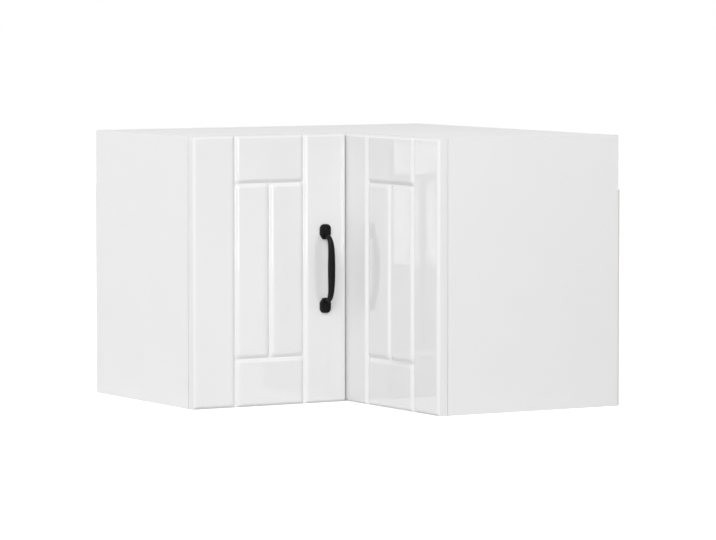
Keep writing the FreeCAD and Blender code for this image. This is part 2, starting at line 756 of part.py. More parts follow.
def make_hinge_link(level):
    """The link between arm and cup, cranked so that it clears the cup's rim."""
    body = new_body(level + "_hinge_link")
    half = "link_thickness / 2"
    sketch = new_sketch(body, "XY_Plane")
    draw_polygon(sketch, [
        ("0", "-link_thickness"),
        ("link_eye_radius * 2.6", f"link_drop - {half}"),
        ("link_length - link_tip_radius * 1.1", f"link_drop - {half}"),
        ("link_length - link_tip_radius / 2", "0"),
        ("link_length + link_tip_radius * 0.4", "link_tip_radius * 0.85"),
        ("link_length - link_tip_radius * 0.7", f"link_drop + {half}"),
        ("link_eye_radius * 2.3", f"link_drop + {half}"),
        ("-link_thickness", "link_thickness"),
    ])
    pad(body, sketch, "link_width", both_ways=True)
    for place, radius in (("0", "link_eye_radius"), ("link_length", "link_tip_radius")):
        sketch = new_sketch(body, "XY_Plane")
        draw_circle(sketch, place, "0", radius)
        pad(body, sketch, "link_width", both_ways=True)
    for place, radius in (("0", "arm_pin_radius"), ("link_length", "cup_pin_radius")):
        sketch = new_sketch(body, "XY_Plane")
        draw_circle(sketch, place, "0", radius)
        cut(body, sketch, "2 * link_width", both_ways=True)
    lean = math.atan2(size("cup_pin_y") - size("arm_pin_y"), size("cup_pin_x") - size("arm_pin_x"))
    body.Placement.Rotation = FreeCAD.Rotation(FreeCAD.Vector(0, 0, 1), math.degrees(lean))
    put(body, "outer + arm_pin_x", "front + arm_pin_y", HINGE_HEIGHTS[level])
    return finish(body, level + "_hinge_link")


def make_hinge_cup(level):
    """The cup in the leaf's back, with its wing and the two ears of the cup pin."""
    body = new_body(level + "_hinge_cup")
    sketch = new_sketch(body, "XZ_Plane")
    draw_circle(sketch, "0", "0", "cup_radius - fit_play")
    pad(body, sketch, "cup_depth")
    sketch = new_sketch(body, "XZ_Plane")
    draw_circle(sketch, "0", "0", "cup_radius + flange_lip")
    pad(body, sketch, "flange_thickness", backwards=True)
    sketch = new_sketch(body, "XZ_Plane")
    draw_box(sketch, "wing_offset - wing_width / 2", "-wing_half_length",
             "wing_offset + wing_width / 2", "wing_half_length")
    pad(body, sketch, "flange_thickness", backwards=True)
    mouth = [("0", "0", "cup_radius - cup_wall")]
    drill_inward(body, "left", "flange_thickness", mouth, "cup_depth + flange_thickness - cup_wall", False)
    sketch = facing_sketch(body, "left", "flange_thickness")
    draw_box(sketch, "-cup_radius - 2 * flange_lip", "-link_width / 2 - 3 * side_play",
             "-cup_radius / 2", "link_width / 2 + 3 * side_play")
    cut(body, sketch, "flange_thickness", backwards=True)
    pin_x = "cup_pin_inset - cup_radius"
    pin_y = "-cup_pin_sink"
    for start in ("link_width / 2 + side_play", "-link_width / 2 - side_play - cup_ear_thickness"):
        sketch = new_sketch(body, "XY_Plane", start)
        draw_box(sketch, "1.5 * cup_wall - cup_radius", pin_y + " - cup_ear_radius",
                 pin_x + " + cup_ear_radius", pin_y + " + cup_ear_radius")
        pad(body, sketch, "cup_ear_thickness")
    sketch = new_sketch(body, "XY_Plane")
    draw_circle(sketch, pin_x, pin_y, "cup_pin_radius + pin_play")
    cut(body, sketch, "2 * link_width", both_ways=True)
    screws = [("wing_offset", f"{sign} cup_screw_pitch / 2", "cup_screw_radius + fit_play") for sign in "+-"]
    drill_inward(body, "left", "flange_thickness", screws, "2 * flange_thickness", False)
    put(body, "outer + leaf_reveal + cup_centre", "leaf_back", HINGE_HEIGHTS[level])
    return finish(body, level + "_hinge_cup")


# Fold hinges: a flat wing on each leaf's back, with knuckles on one upright pin
def make_fold_wing(level, side):
    label = f"{level}_fold_wing_{side}"
    body = new_body(label)
    knuckle = "fold_eye_half_width"
    if side == "right":
        knuckle = "(fold_eye_half_width + side_play + fold_ear_width)"
    outlines = [
        (("-fold_plate_end", "-fold_eye_radius - fold_plate_thickness"),
         ("-fold_plate_start", "-fold_eye_radius"), "fold_plate_half_height"),
        (("-fold_arm_length", "-fold_eye_radius"), ("0", "0"), knuckle),
    ]
    for low, high, half_height in outlines:
        sketch = new_sketch(body, "XY_Plane")
        draw_box(sketch, *turn(side, *low), *turn(side, *high))
        pad(body, sketch, "2 * " + half_height, both_ways=True)
    sketch = new_sketch(body, "XY_Plane")
    draw_circle(sketch, "0", "0", "fold_eye_radius")
    pad(body, sketch, "2 * " + knuckle, both_ways=True)
    if side == "right":
        # the fork that takes the other leaf's knuckle
        sketch = new_sketch(body, "XY_Plane")
        draw_box(sketch, "-fold_plate_end", "-fold_slot_depth", "fold_plate_end", "fold_slot_depth")
        cut(body, sketch, "2 * (fold_eye_half_width + side_play)", both_ways=True)
    sketch = new_sketch(body, "XY_Plane")
    draw_circle(sketch, "0", "0", "fold_pin_radius + pin_play")
    cut(body, sketch, "4 * fold_plate_half_height", both_ways=True)
    screws = [("-" + reach, "0" + spread, "cup_screw_radius + fit_play") for reach, spread in FOLD_SCREWS]
    drill_inward(body, side, "-fold_eye_radius", screws, "2 * fold_plate_thickness", False)
    put(body, "fold_pin", "fold_pin", HINGE_HEIGHTS[level])
    return finish(body, label)


for height_name in HINGE_HEIGHTS:
    make_hinge_arm(height_name)
    make_hinge_plate(height_name)
    make_hinge_link(height_name)
    make_hinge_cup(height_name)
    for arm in SIDES:
        make_fold_wing(height_name, arm)


# Fittings. Each kind is modelled once, upright at the origin, and a node holds
# all its copies. A copy's direction is where its own +Z points.
OUTWARD = {
    "x": (1, 0, 0), "-x": (-1, 0, 0),
    "y": (0, 1, 0), "-y": (0, -1, 0),
    "z": (0, 0, 1), "-z": (0, 0, -1),
}


def make_turned(name, steps):
    """A round fitting: stacked cylinders, each given as start, length, radius."""
    body = new_body(name)
    for start, length, radius in steps:
        sketch = new_sketch(body, "XY_Plane", start)
        draw_circle(sketch, "0", "0", radius)
        pad(body, sketch, length)
    return body


def aim(direction, side_direction=None):
    """The turn that points +Z one way and, if asked, +X another way."""
    up = FreeCAD.Vector(*OUTWARD[direction])
    if side_direction is None:
        return FreeCAD.Rotation(FreeCAD.Vector(0, 0, 1), up)
    across = FreeCAD.Vector(*OUTWARD[side_direction])
    return FreeCAD.Rotation(across, up.cross(across), up, "ZXY")


def make_group(label, template, spots):
    """One node with a copy of a fitting at each spot: a turn and a place."""
    copies = []
    for rotation, place in spots:
        copy = doc.addObject("App::Link", label + "_copy")
        copy.LinkedObject = template
        copy.Placement.Rotation = rotation
        put(copy, *place)
        copies.append(copy)
    group = doc.addObject("Part::Compound", label)
    group.Links = copies
    return finish(group, label)


def make_cam():
    """A cam housing: a slotted face, and a bore on its -X side for the bolt's head."""
    body = new_body("cam")
    sketch = new_sketch(body, "XY_Plane", "-cam_depth")
    draw_circle(sketch, "0", "0", "cam_radius - fit_play")
    pad(body, sketch, "cam_depth - cam_slack")
    slot = ("cam_slot_length / 2", "cam_slot_width / 2")
    for across, up in (slot, slot[::-1]):
        sketch = new_sketch(body, "XY_Plane", "-cam_slack")
        draw_box(sketch, "-" + across, "-" + up, across, up)
        cut(body, sketch, "cam_slot_depth")
    sketch = new_sketch(body, "YZ_Plane", "-2 * cam_radius")
    draw_circle(sketch, "0", "-board_thickness / 2", "bolt_bore_radius")
    cut(body, sketch, "2 * cam_radius + bolt_head_radius", backwards=True)
    return body


def make_board_fittings():
    cams, bolts, dowels = [], [], []
    away = {"left": "x", "right": "y"}
    levels = (("board_thickness", "z", BOARD_LEVELS[0]), ("ceiling", "-z", BOARD_LEVELS[1]))
    for side in SIDES:
        for face, facing, middle in levels:
            for row in CAM_ROWS:
                seat = turn(side, "inner + cam_inset", "front + " + row)
                cams.append((aim(facing, away[side]), (*seat, face)))
                bolts.append((aim(away[side]), (*turn(side, "inner", "front + " + row), middle)))
            dowels.append((aim(away[side]), (*turn(side, "inner", "front + depth / 2"), middle)))
        facing = {"left": "-y", "right": "-x"}[side]
        height = "rail_base + rail_height / 2"
        seat = turn(side, "inner + cam_inset", "rear - board_thickness")
        cams.append((aim(facing, away[side]), (*seat, height)))
        bolts.append((aim(away[side]), (*turn(side, "inner", "rear - board_thickness / 2"), height)))
    corner = "rear - board_thickness"
    cams.append((aim("-x", "-y"), (corner, corner + " - cam_inset", height)))
    bolts.append((aim("-y"), ("rear - board_thickness / 2", corner, height)))
    for spot in POST_DOWELS:
        for end in ("board_thickness", "rail_base"):
            dowels.append((aim("z"), ("rear - post_width + " + spot, "rear - board_thickness / 2", end)))
    bolt = make_turned("bolt", [
        ("-bolt_thread_depth + fit_play", "bolt_thread_depth", "bolt_thread_radius"),
        ("0", "cam_inset - bolt_head_length / 2", "bolt_radius"),
        ("cam_inset - bolt_head_length / 2", "bolt_head_length", "bolt_head_radius"),
    ])
    half = "dowel_half_length - fit_play"
    dowel = make_turned("dowel", [(f"-({half})", f"2 * ({half})", "dowel_radius")])
    make_group("cam_locks", make_cam(), cams)
    make_group("cam_bolts", bolt, bolts)
    make_group("dowels", dowel, dowels)


def make_shelf_pins():
    pin = make_turned("shelf_pin", [
        ("-pin_depth + fit_play", "pin_depth + pin_reach", "pin_radius"),
        ("0", "pin_collar_thickness", "pin_collar_radius"),
    ])
    spots = [(aim({"left": "x", "right": "y"}[side]), (*turn(side, "inner", "front + " + row), pin_height(0)))
             for side in SIDES for row in PIN_ROWS]
    spots.append((aim("-y"), ("rear - post_width / 2", "rear - board_thickness", pin_height(0))))
    make_group("shelf_pins", pin, spots)


def make_back_nails():
    nail = make_turned("nail", [
        ("-nail_length", "nail_length", "nail_radius"),
        ("-nail_head_thickness", "nail_head_thickness", "nail_head_radius"),
    ])
    spots = []
    for side in SIDES:
        facing = aim({"left": "y", "right": "x"}[side])
        for step in range(3):
            share = (step + 0.5) / 3
            along = f"inner + length * {share:.4f}"
            spots.append((facing, (*turn(side, along, "wall"), "board_thickness / 2")))
            spots.append((facing, (*turn(side, along, "wall"), "back_top - back_lap / 2")))
            edge = turn(side, "outer + board_thickness / 2", "wall")
            spots.append((facing, (*edge, f"back_top * {share:.4f}")))
    make_group("back_nails", nail, spots)


def make_bumpers():
    bumper = make_turned("bumper", [("0", "bumper_thickness", "bumper_radius")])
    spots = [(aim("-y"), ("front - bumper_inset", "front", level)) for level in BOARD_LEVELS]
    spots += [(aim("-x"), ("front", "outer + board_thickness / 2", height))
              for height in ("bumper_inset", "cabinet_height - bumper_inset")]
    make_group("leaf_bumpers", bumper, spots)


def make_screws():
    plate_screw = make_turned("plate_screw", [
        ("-plate_screw_length + fit_play", "plate_screw_length", "plate_screw_radius"),
        ("0", "plate_screw_head_thickness", "plate_screw_head_radius"),
    ])
    clamp_screw = make_turned("clamp_screw", [
        ("-clamp_screw_length", "clamp_screw_length", "clamp_screw_radius"),
        ("0", "clamp_screw_head_thickness", "clamp_screw_head_radius"),
    ])
    cup_screw = make_turned("cup_screw", [
        ("-cup_screw_length", "cup_screw_length", "cup_screw_radius"),
        ("0", "cup_screw_head_thickness", "cup_screw_head_radius"),
    ])
    shaft = "leaf_thickness + handle_screw_bite"
    handle_screw = make_turned("handle_screw", [
        (f"-({shaft})", shaft, "handle_screw_radius"),
        ("0", "handle_screw_head_thickness", "handle_screw_head_radius"),
    ])
    heights = HINGE_HEIGHTS.values()
    make_group("plate_screws", plate_screw, [
        (aim("x"), ("inner + plate_thickness", "front + plate_line",
                    f"{height} {sign} plate_screw_pitch / 2"))
        for height in heights for sign in "+-"])
    make_group("clamp_screws", clamp_screw, [
        (aim("x"), ("inner + arm_rise + arm_sheet", "front + " + reach, height))
        for height in heights for reach in ("clamp_near", "clamp_far")])
    make_group("cup_screws", cup_screw, [
        (aim("y"), ("outer + leaf_reveal + cup_centre + wing_offset", "leaf_back + flange_thickness",
                    f"{height} {sign} cup_screw_pitch / 2"))
        for height in heights for sign in "+-"])
    for side in SIDES:
        facing = aim({"left": "y", "right": "x"}[side])
        make_group(f"fold_screws_{side}", cup_screw, [
            (facing, (*turn(side, "fold_pin - " + reach, "fold_pin - fold_eye_radius"), height + spread))
            for height in heights
            for reach, spread in FOLD_SCREWS])
    make_group("handle_screws", handle_screw, [
        (aim("y"), ("leaf_front - fold_gap - handle_from_edge", "leaf_back",
                    f"handle_middle {sign} handle_pitch / 2")) for sign in "+-"])


def make_pins():
    ears = "(fold_eye_half_width + side_play + fold_ear_width)"
    kinds = (
        ("hinge_arm_pins", "arm_half_width", "arm_pin_radius", "outer + arm_pin_x", "front + arm_pin_y"),
        ("hinge_cup_pins", "(link_width / 2 + side_play + cup_ear_thickness)", "cup_pin_radius",
         "outer + cup_pin_x", "front + cup_pin_y"),
        ("fold_pins", ears, "fold_pin_radius", "fold_pin", "fold_pin"),
    )
    for label, reach, radius, x, y in kinds:
        pin = make_turned(label + "_pin", [("-" + reach, "2 * " + reach, radius)])
        make_group(label, pin, [(aim("z"), (x, y, height)) for height in HINGE_HEIGHTS.values()])


make_board_fittings()
make_shelf_pins()
make_back_nails()
make_bumpers()
make_screws()
make_pins()

# Check the whole document before anything is written
doc.recompute()
for item in doc.Objects:
    if "Invalid" in item.State or "Error" in item.State:
        raise RuntimeError(f"{item.Name} did not build: {item.State}")
for node in nodes:
    if node.Shape.isNull() or not node.Shape.isValid():
        raise RuntimeError(f"{node.Label} has no valid shape")

os.makedirs("parts", exist_ok=True)
for node in nodes:
    node.Shape.exportStep(f"parts/{node.Label}.step")
print(f"{len(nodes)} nodes written")
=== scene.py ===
import math

import bmesh
import bpy
import numpy as np
from mathutils import Matrix, Vector


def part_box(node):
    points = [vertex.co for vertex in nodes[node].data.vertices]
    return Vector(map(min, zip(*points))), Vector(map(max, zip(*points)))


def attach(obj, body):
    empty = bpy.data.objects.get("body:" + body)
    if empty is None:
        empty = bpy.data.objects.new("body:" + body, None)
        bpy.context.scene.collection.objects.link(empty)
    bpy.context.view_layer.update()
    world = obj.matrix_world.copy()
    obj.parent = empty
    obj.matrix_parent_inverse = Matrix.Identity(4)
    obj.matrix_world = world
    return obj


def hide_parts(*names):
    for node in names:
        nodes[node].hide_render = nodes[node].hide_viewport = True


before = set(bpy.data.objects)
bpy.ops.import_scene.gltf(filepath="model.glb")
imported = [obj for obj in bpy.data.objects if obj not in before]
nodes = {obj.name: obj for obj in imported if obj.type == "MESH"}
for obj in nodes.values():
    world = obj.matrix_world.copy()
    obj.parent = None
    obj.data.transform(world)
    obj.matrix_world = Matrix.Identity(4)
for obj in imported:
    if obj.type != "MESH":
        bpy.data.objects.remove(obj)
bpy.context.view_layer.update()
print("frame loaded")

# Lengths are in metres, angles in degrees and lamp powers in watts, unless a note says otherwise.

cameraView = {
    "lens": 218.5,                            # mm on a 36 mm wide sensor
    "place": (-3.2707, -5.6022, 0.63635),
    "turn": -30.336,                          # about the vertical
    "dip": 3.9015,                            # below level
    "reach": 200.0,
}


def setCamera(view):
    data = bpy.data.cameras.new("photoView")
    data.lens = view["lens"]
    data.sensor_width = 36.0
    data.sensor_fit = "HORIZONTAL"
    data.clip_end = view["reach"]
    camera = bpy.data.objects.new("photoView", data)
    camera.location = view["place"]
    camera.rotation_euler = (math.radians(90.0 - view["dip"]), 0.0, math.radians(view["turn"]))
    bpy.context.collection.objects.link(camera)
    bpy.context.scene.camera = camera


bpy.context.scene.view_settings.view_transform = "Standard"
setCamera(cameraView)
print("camera set")

room = {
    "skyLight": 0.50,                         # how much the white room lights the cabinet
    "floorColour": (0.70, 0.70, 0.70),
    "floorGlow": 0.66,                        # what the camera and reflections see on top of the lit floor
    "floorReach": 40.0,
}


def seenDirectly(tree):
    # 1 for camera, mirror and see-through rays, 0 for the rays that light things
    paths = tree.nodes.new("ShaderNodeLightPath")
    seen = paths.outputs["Is Camera Ray"]
    for kind in ("Is Glossy Ray", "Is Transmission Ray"):
        either = tree.nodes.new("ShaderNodeMath")
        either.operation = "MAXIMUM"
        tree.links.new(seen, either.inputs[0])
        tree.links.new(paths.outputs[kind], either.inputs[1])
        seen = either.outputs[0]
    return seen


def setSky(values):
    world = bpy.data.worlds.new("whiteRoom")
    world.use_nodes = True
    tree = world.node_tree
    background = tree.nodes["Background"]
    background.inputs["Color"].default_value = (1.0, 1.0, 1.0, 1.0)
    strength = tree.nodes.new("ShaderNodeMix")
    strength.data_type = "FLOAT"
    strength.inputs["A"].default_value = values["skyLight"]
    strength.inputs["B"].default_value = 1.0
    tree.links.new(seenDirectly(tree), strength.inputs["Factor"])
    tree.links.new(strength.outputs["Result"], background.inputs["Strength"])
    bpy.context.scene.world = world


def makePaleFloor(values):
    material = bpy.data.materials.new("paleFloor")
    material.use_nodes = True
    tree = material.node_tree
    tree.nodes.clear()
    lit = tree.nodes.new("ShaderNodeBsdfDiffuse")
    lit.inputs["Color"].default_value = (*values["floorColour"], 1.0)
    glow = tree.nodes.new("ShaderNodeEmission")
    level = tree.nodes.new("ShaderNodeMath")
    level.operation = "MULTIPLY"
    level.inputs[1].default_value = values["floorGlow"]
    tree.links.new(seenDirectly(tree), level.inputs[0])
    tree.links.new(level.outputs[0], glow.inputs["Strength"])
    both = tree.nodes.new("ShaderNodeAddShader")
    tree.links.new(lit.outputs[0], both.inputs[0])
    tree.links.new(glow.outputs[0], both.inputs[1])
    output = tree.nodes.new("ShaderNodeOutputMaterial")
    tree.links.new(both.outputs[0], output.inputs["Surface"])
    return material


def layFloor(values):
    far = values["floorReach"]
    mesh = bpy.data.meshes.new("floor")
    corners = [(-far, -far, 0), (far, -far, 0), (far, far, 0), (-far, far, 0)]
    mesh.from_pydata(corners, [], [(0, 1, 2, 3)])
    mesh.materials.append(makePaleFloor(values))
    floor = bpy.data.objects.new("floor", mesh)
    bpy.context.collection.objects.link(floor)


setSky(room)
layFloor(room)
print("room and floor made")

keyLamp = {"power": 148.0, "place": (-2.35, -3.05, 3.2), "extent": (2.4, 2.4), "aimAt": (0.0, 0.0, 0.2)}
fillLamp = {"power": 38.0, "place": (-1.7, 3.1, 0.30), "extent": (1.0, 0.8), "aimAt": (0.0, 0.0, 0.2)}
lightBox = {"power": 4.4, "place": (-1.803, -2.526, 0.175), "extent": (0.39, 0.35),
            "aimAt": (0.0, 0.0, 0.175)}


def addLamp(name, values):
    data = bpy.data.lights.new(name, "AREA")
    data.shape = "RECTANGLE"
    data.size, data.size_y = values["extent"]
    data.energy = values["power"]
    lamp = bpy.data.objects.new(name, data)
    lamp.location = values["place"]
    toward = np.array(values["aimAt"]) - np.array(values["place"])
    dip = math.acos(-toward[2] / np.linalg.norm(toward))
    turn = math.atan2(toward[1], toward[0]) - math.pi / 2
    lamp.rotation_euler = (dip, 0.0, turn)
    lamp.visible_camera = False
    bpy.context.collection.objects.link(lamp)
    return lamp


addLamp("keyLamp", keyLamp)
addLamp("fillLamp", fillLamp).visible_glossy = False         # lights the left end, and has no mirror image
addLamp("lightBox", lightBox).visible_diffuse = False        # is only there to shine in the glossy leaves
print("lamps lit")


def newGroup(name, inputs, outputs):
    # inputs: name -> first value; outputs: names; all of them single numbers
    group = bpy.data.node_groups.new(name, "ShaderNodeTree")
    for label, value in inputs.items():
        socket = group.interface.new_socket(name=label, in_out="INPUT", socket_type="NodeSocketFloat")
        socket.default_value = value
    for label in outputs:
        group.interface.new_socket(name=label, in_out="OUTPUT", socket_type="NodeSocketFloat")
    return group, group.nodes.new("NodeGroupInput"), group.nodes.new("NodeGroupOutput")


def makeFineGrain():
    # a small even texture plus a broad drift, both from the piece's own place in space
    group, given, result = newGroup("fineGrain", {"Grain Size": 0.001, "Drift Size": 0.1}, ("Grain", "Drift"))
    place = group.nodes.new("ShaderNodeTexCoord")
    for label, detail in (("Grain", 3.0), ("Drift", 2.0)):
        scale = group.nodes.new("ShaderNodeMath")
        scale.operation = "DIVIDE"
        scale.inputs[0].default_value = 1.0
        group.links.new(given.outputs[label + " Size"], scale.inputs[1])
        noise = group.nodes.new("ShaderNodeTexNoise")
        noise.inputs["Detail"].default_value = detail
        group.links.new(place.outputs["Object"], noise.inputs["Vector"])
        group.links.new(scale.outputs[0], noise.inputs["Scale"])
        group.links.new(noise.outputs["Fac"], result.inputs[label])
    return group


fineGrain = makeFineGrain()


def newMaterial(name, values):
    material = bpy.data.materials.new(name)
    material.use_nodes = True
    tree = material.node_tree
    grain = tree.nodes.new("ShaderNodeGroup")
    grain.node_tree = fineGrain
    grain.inputs["Grain Size"].default_value = values["grainSize"]
    grain.inputs["Drift Size"].default_value = values["driftSize"]
    return material, tree, tree.nodes["Principled BSDF"], grain.outputs["Grain"], grain.outputs["Drift"]


def blendColours(tree, mask, low, high):
    node = tree.nodes.new("ShaderNodeMix")
    node.data_type = "RGBA"
    tree.links.new(mask, node.inputs["Factor"])
    node.inputs["A"].default_value = (*low, 1.0)
    node.inputs["B"].default_value = (*high, 1.0)
    return node.outputs["Result"]


def tones(tree, mask, colour, factors):
    # the colour, darker and lighter by two factors where the mask is low and high
    low, high = (tuple(channel * factor for channel in colour) for factor in factors)
    return blendColours(tree, mask, low, high)


def setRoughness(tree, shader, mask, span):
    # the middle of the noise is stretched over the whole span
    node = tree.nodes.new("ShaderNodeMapRange")
    node.inputs["From Min"].default_value = 0.3
    node.inputs["From Max"].default_value = 0.7
    node.inputs["To Min"].default_value, node.inputs["To Max"].default_value = span
    tree.links.new(mask, node.inputs["Value"])
    tree.links.new(node.outputs["Result"], shader.inputs["Roughness"])


def setBump(tree, shader, mask, values, socket="Normal"):
    node = tree.nodes.new("ShaderNodeBump")
    node.inputs["Strength"].default_value = values["bump"]
    node.inputs["Distance"].default_value = values["bumpDepth"]
    tree.links.new(mask, node.inputs["Height"])
    tree.links.new(node.outputs["Normal"], shader.inputs[socket])


foil = {
    "colour": (0.80, 0.80, 0.80), "tones": (0.992, 1.008), "roughness": (0.20, 0.24),
    "coatRoughness": 0.006, "edgeRoughness": 0.55, "coatIndex": 1.7,
    "grainSize": 0.0022, "driftSize": 0.09, "bump": 0.006, "bumpDepth": 0.0002,
}


def makeGlossFoil(values):
    material, tree, shader, grain, drift = newMaterial("glossFoil", values)
    tree.links.new(tones(tree, drift, values["colour"], values["tones"]), shader.inputs["Base Color"])
    setRoughness(tree, shader, grain, values["roughness"])
    shader.inputs["Specular IOR Level"].default_value = 0.0       # only the clear coat shines
    shader.inputs["Coat Weight"].default_value = 1.0
    shader.inputs["Coat IOR"].default_value = values["coatIndex"]
    stretched = tree.nodes.new("ShaderNodeAttribute")             # the foil is duller over an edge
    stretched.attribute_name = "edgeStretch"
    dulling = tree.nodes.new("ShaderNodeMix")
    dulling.data_type = "FLOAT"
    dulling.inputs["A"].default_value = values["coatRoughness"]
    dulling.inputs["B"].default_value = values["edgeRoughness"]
    tree.links.new(stretched.outputs["Fac"], dulling.inputs["Factor"])
    tree.links.new(dulling.outputs["Result"], shader.inputs["Coat Roughness"])
    setBump(tree, shader, grain, values, "Coat Normal")
    return material


melamine = {
    "colour": (0.845, 0.845, 0.845), "tones": (0.99, 1.01), "roughness": (0.37, 0.47), "gloss": 0.12,
    "grainSize": 0.0007, "driftSize": 0.06, "bump": 0.05, "bumpDepth": 0.0003,
}
ironBlack = {
    "colour": (0.004, 0.004, 0.004), "tones": (0.8, 1.3), "roughness": (0.32, 0.48), "gloss": 0.14,
    "grainSize": 0.0009, "driftSize": 0.02, "bump": 0.6, "bumpDepth": 0.0003,
}


def makeSatin(name, values):
    material, tree, shader, grain, drift = newMaterial(name, values)
    tree.links.new(tones(tree, drift, values["colour"], values["tones"]), shader.inputs["Base Color"])
    setRoughness(tree, shader, grain, values["roughness"])
    shader.inputs["Specular IOR Level"].default_value = values["gloss"]
    setBump(tree, shader, grain, values)
    return material


nickel = {
    "colour": (0.60, 0.59, 0.57), "tones": (0.93, 1.05), "roughness": (0.20, 0.32),
    "grainSize": 0.0008, "driftSize": 0.015, "bump": 0.10, "bumpDepth": 0.0002,
}
zinc = {
    "colour": (0.50, 0.50, 0.49), "tones": (0.93, 1.05), "roughness": (0.36, 0.48),
    "grainSize": 0.0012, "driftSize": 0.015, "bump": 0.08, "bumpDepth": 0.0002,
}


def makeMetal(name, values):
    material, tree, shader, grain, drift = newMaterial(name, values)
    tree.links.new(tones(tree, drift, values["colour"], values["tones"]), shader.inputs["Base Color"])
    shader.inputs["Metallic"].default_value = 1.0
    setRoughness(tree, shader, grain, values["roughness"])
    setBump(tree, shader, grain, values)
    return material


hardboard = {
    "face": (0.76, 0.76, 0.74), "faceTones": (0.98, 1.0),
    "fibre": (0.70, 0.69, 0.65), "fibreTones": (0.8, 1.2), "roughness": 0.6,
    "grainSize": 0.0009, "driftSize": 0.05, "bump": 0.1, "bumpDepth": 0.0003,
}


def makeHardboard(name, values, wideAxis):
    # lacquered on its wide faces, which look along the wide axis, and bare pale fibre on its thin edges
    material, tree, shader, grain, drift = newMaterial(name, values)
    place = tree.nodes.new("ShaderNodeTexCoord")
    parts = tree.nodes.new("ShaderNodeSeparateXYZ")
    tree.links.new(place.outputs["Normal"], parts.inputs[0])
    facing = tree.nodes.new("ShaderNodeMath")
    facing.operation = "ABSOLUTE"
    tree.links.new(parts.outputs[wideAxis], facing.inputs[0])
    mix = tree.nodes.new("ShaderNodeMix")
    mix.data_type = "RGBA"
    tree.links.new(facing.outputs[0], mix.inputs["Factor"])
    tree.links.new(tones(tree, grain, values["fibre"], values["fibreTones"]), mix.inputs["A"])
    tree.links.new(tones(tree, drift, values["face"], values["faceTones"]), mix.inputs["B"])
    tree.links.new(mix.outputs["Result"], shader.inputs["Base Color"])
    shader.inputs["Roughness"].default_value = values["roughness"]
    setBump(tree, shader, grain, values)
    return material


beech = {
    "light": (0.62, 0.44, 0.26), "dark": (0.50, 0.33, 0.18), "roughness": 0.6,
    "grainSize": 0.0006, "driftSize": 0.004, "bump": 0.2, "bumpDepth": 0.0002,
}


def makeBeech(values):
    material, tree, shader, grain, drift = newMaterial("beechDowel", values)
    tree.links.new(blendColours(tree, grain, values["dark"], values["light"]), shader.inputs["Base Color"])
    shader.inputs["Roughness"].default_value = values["roughness"]
    setBump(tree, shader, grain, values)
    return material


softBumper = {
    "colour": (0.75, 0.75, 0.72), "tones": (0.95, 1.0), "roughness": (0.30, 0.45),
    "grainSize": 0.0005, "driftSize": 0.003,
}


def makeBumperGel(values):
    material, tree, shader, grain, drift = newMaterial("bumperGel", values)
    tree.links.new(tones(tree, drift, values["colour"], values["tones"]), shader.inputs["Base Color"])
    setRoughness(tree, shader, grain, values["roughness"])
    return material


glossFoil = makeGlossFoil(foil)
whiteBoard = makeSatin("whiteMelamine", melamine)
blackCasting = makeSatin("blackCasting", ironBlack)
nickelSteel = makeMetal("nickelSteel", nickel)
castZinc = makeMetal("castZinc", zinc)
leftBack = makeHardboard("hardboardY", hardboard, "Y")
rightBack = makeHardboard("hardboardX", hardboard, "X")
beechWood = makeBeech(beech)
bumperGel = makeBumperGel(softBumper)
print("finishes made")

leafShape = {
    "edgeRadius": 0.005,
    "edgeSteps": 12,
    "stile": 0.070,                  # middle of the upright grooves from the leaf's edges
    "crosspiece": 0.0705,            # middle of the level grooves from the leaf's ends
    "grooveDepth": 0.0038,
    "grooveSlope": 38.0,
    "shoulderRadius": 0.0055,
    "rootRadius": 0.0015,
    "crossingRadius": 0.006,         # how softly two grooves run into each other
    "crossingReach": 0.0036,         # how far the fine grid goes on beside a groove
    "fineStep": 0.0005,
    "coarseStep": 0.010,
    "backBevel": 0.0006,
    "foldLip": 0.0019,               # the left leaf reaches this much nearer to the right one
    "outerLip": 0.0009,              # and both leaves this much nearer to their end panels
    "leftSkin": 0.0006,              # what the back of each leaf gains
    "rightSkin": 0.0016,
    "sharpAngle": 30.0,
}


def grooveRuns(shape):
    # how far root and shoulder each reach across a groove, and half the groove's width
    slope = math.radians(shape["grooveSlope"])
    shoulder, root = shape["shoulderRadius"], shape["rootRadius"]
    rootRun, shoulderRun = root * math.sin(slope), shoulder * math.sin(slope)
    flank = (shape["grooveDepth"] - (shoulder + root) * (1.0 - math.cos(slope))) / math.tan(slope)
    return rootRun, shoulderRun, rootRun + flank + shoulderRun


def grooveDrop(distance, shape):
    # depth below the face at a distance from the middle of a groove: round root, slope, round shoulder
    slope = math.radians(shape["grooveSlope"])
    shoulder, root, depth = shape["shoulderRadius"], shape["rootRadius"], shape["grooveDepth"]
    rootRun, shoulderRun, half = grooveRuns(shape)
    bottom = depth - root + np.sqrt(np.clip(root ** 2 - distance ** 2, 0.0, None))
    straight = depth - root * (1.0 - math.cos(slope)) - (distance - rootRun) * math.tan(slope)
    intoShoulder = np.clip(half - distance, 0.0, shoulderRun)
    top = shoulder - np.sqrt(np.clip(shoulder ** 2 - intoShoulder ** 2, 0.0, None))
    drop = np.where(distance < rootRun, bottom, np.where(distance < half - shoulderRun, straight, top))
    return np.where(distance < half, drop, 0.0)


def segmentDistance(u, v, start, end):
    start, end = np.array(start), np.array(end)
    run = end - start
    share = ((u - start[0]) * run[0] + (v - start[1]) * run[1]) / (run @ run)
    share = np.clip(share, 0.0, 1.0)
    return np.hypot(u - start[0] - share * run[0], v - start[1] - share * run[1])


def softLeast(first, second, radius):
    near = np.clip(radius - np.abs(first - second), 0.0, None) / radius
    return np.minimum(first, second) - near * near * radius / 4.0


